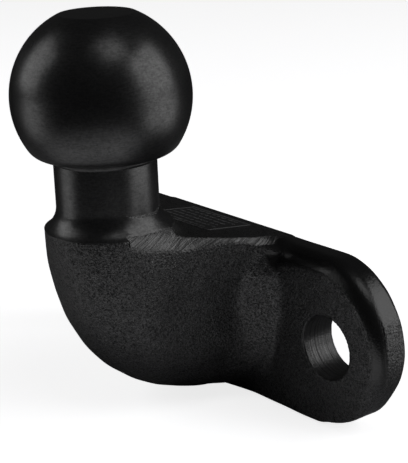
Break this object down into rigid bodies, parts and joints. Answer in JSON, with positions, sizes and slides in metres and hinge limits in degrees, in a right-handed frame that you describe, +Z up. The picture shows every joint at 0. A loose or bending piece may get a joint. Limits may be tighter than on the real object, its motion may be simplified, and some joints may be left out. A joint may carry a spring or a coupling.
{
  "type": "bolt-on tow ball",
  "caption": "Forged tow ball with a cranked arm and an obround flange that bolts flat against a vehicle's towing bracket.",
  "frame": {"origin": "middle of the bolt line, on the flange's flat mounting face", "axes": "+X along the bolt line, +Y out of the mounting face into the vehicle, +Z up; the ball stands at -Y"},
  "size_m": [0.146, 0.069, 0.1135],
  "materials": {
    "forging": "satin black coating over rough forged steel",
    "turned": "satin black coating over fine turned steel",
    "plate": "matte black coating over a thin pressed plate"
  },
  "bodies": {
    "root": {"forged_arm": "forging", "ball_stud": "turned", "rating_plate": "plate"}
  },
  "joints": []
}
